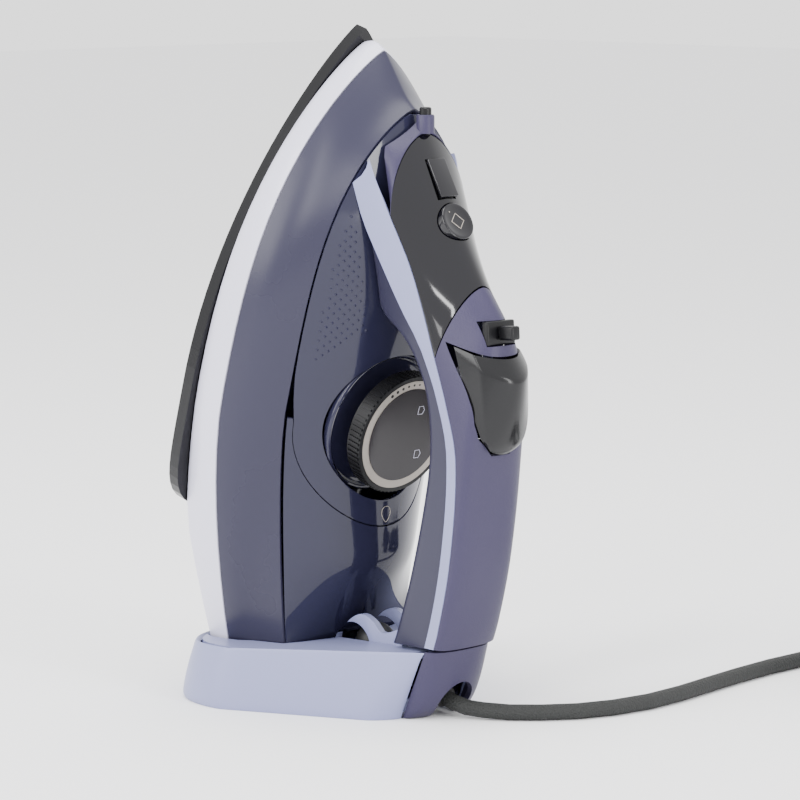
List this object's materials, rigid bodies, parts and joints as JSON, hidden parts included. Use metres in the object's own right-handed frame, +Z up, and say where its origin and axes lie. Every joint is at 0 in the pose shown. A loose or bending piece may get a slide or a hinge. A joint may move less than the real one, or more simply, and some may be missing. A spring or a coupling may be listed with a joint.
{
  "type": "clothes iron",
  "caption": "Steam iron standing on its heel, with a smoked water tank, temperature dial, steam paddle, spray button and a braided mains cord.",
  "frame": {"origin": "middle of the iron's footprint on the surface that it stands on, cord left out", "axes": "+Z up with the iron standing on its heel, -X the way the soleplate faces, +X towards the handle, -Y the iron's left side"},
  "size_m": [0.2746, 0.3522, 0.298],
  "materials": {
    "ceramic_sole": "satin with a polished bevel",
    "cast_aluminium": "as cast",
    "element_steel": "heat stained",
    "ceramic_white": "matt",
    "silicone_seal": "matt",
    "pale_plastic": "satin",
    "slate_plastic": "satin",
    "violet_plastic": "fine matt grain",
    "lavender_plastic": "satin",
    "smoke_tank": "polished, see-through",
    "gloss_black": "high gloss",
    "satin_black": "satin",
    "black_plastic": "satin",
    "black_rubber": "matt",
    "dial_silver": "metallic satin",
    "dial_glass": "gloss",
    "spring_steel": "bright",
    "plated_brass": "bright",
    "braided_cord": "woven"
  },
  "bodies": {
    "iron": {"soleplate": "ceramic_sole", "sole_casting": "cast_aluminium", "heating_element": "element_steel", "chamber_cover": "cast_aluminium", "thermostat": "ceramic_white", "thermal_fuse": "ceramic_white", "sole_gasket": "silicone_seal", "skirt": "pale_plastic", "base_cover": "slate_plastic", "lower_body": "slate_plastic", "tank_base": "smoke_tank", "tank_rear": "smoke_tank", "tank_cover": "smoke_tank", "dial_bowl": "smoke_tank", "shaft_tube": "pale_plastic", "nose_housing": "violet_plastic", "nozzle_holder": "violet_plastic", "spray_nozzle": "black_plastic", "control_panel": "gloss_black", "fill_funnel": "black_plastic", "button_spring": "spring_steel", "spray_pump": "pale_plastic", "handle_shell": "violet_plastic", "handle_lower": "slate_plastic", "trim_left": "lavender_plastic", "trim_right": "lavender_plastic", "slider_track": "black_plastic", "paddle_pin": "spring_steel", "paddle_spring": "spring_steel", "steam_pump": "pale_plastic", "valve_tube": "pale_plastic", "valve_rod": "spring_steel", "heel_tray": "lavender_plastic", "heel_ledge": "lavender_plastic", "heel_plate": "lavender_plastic", "cord_arch": "lavender_plastic", "rear_cap": "violet_plastic", "terminal_block": "pale_plastic", "cord_clamp": "black_plastic", "casing_screws": "spring_steel", "strain_relief": "black_rubber", "cord": "braided_cord", "cord_coil": "braided_cord", "cord_tail": "braided_cord", "cord_tie": "black_rubber", "plug_body": "black_rubber", "plug_pins": "plated_brass"},
    "temperature_dial": {"dial_grip": "black_plastic", "dial_ring": "dial_silver", "dial_disc": "dial_glass", "dial_shaft": "spring_steel"},
    "spray_button": {"spray_button": "gloss_black"},
    "filling_door": {"fill_door": "gloss_black"},
    "steam_paddle": {"steam_paddle": "satin_black"},
    "steam_slider": {"steam_slider": "black_plastic"}
  },
  "joints": [
    {"name": "temperature_dial_turn", "type": "hinge", "parent": "iron", "child": "temperature_dial", "pos_m": [0.01536, 0, 0.12049], "axis": [0.9613, 0, -0.2756], "range_deg": [0, 290]},
    {"name": "spray_button_press", "type": "slide", "parent": "iron", "child": "spray_button", "axis": [0.8746, 0, 0.4848], "range_m": [-0.0025, 0], "stiffness_N_per_m": 600, "springref_m": 0.002, "deforming": ["button_spring"]},
    {"name": "filling_door_open", "type": "hinge", "parent": "iron", "child": "filling_door", "pos_m": [0.034, 0, 0.24258], "axis": [0, -1, 0], "range_deg": [0, 70]},
    {"name": "steam_paddle_press", "type": "hinge", "parent": "iron", "child": "steam_paddle", "pos_m": [0.06701, 0, 0.12649], "axis": [0, -1, 0], "range_deg": [0, 5], "stiffness_Nm_per_rad": 1.2, "springref_deg": -2.86, "deforming": ["paddle_spring"]},
    {"name": "steam_slider_move", "type": "slide", "parent": "iron", "child": "steam_slider", "axis": [0, -1, 0], "range_m": [-0.005, 0.005]}
  ]
}
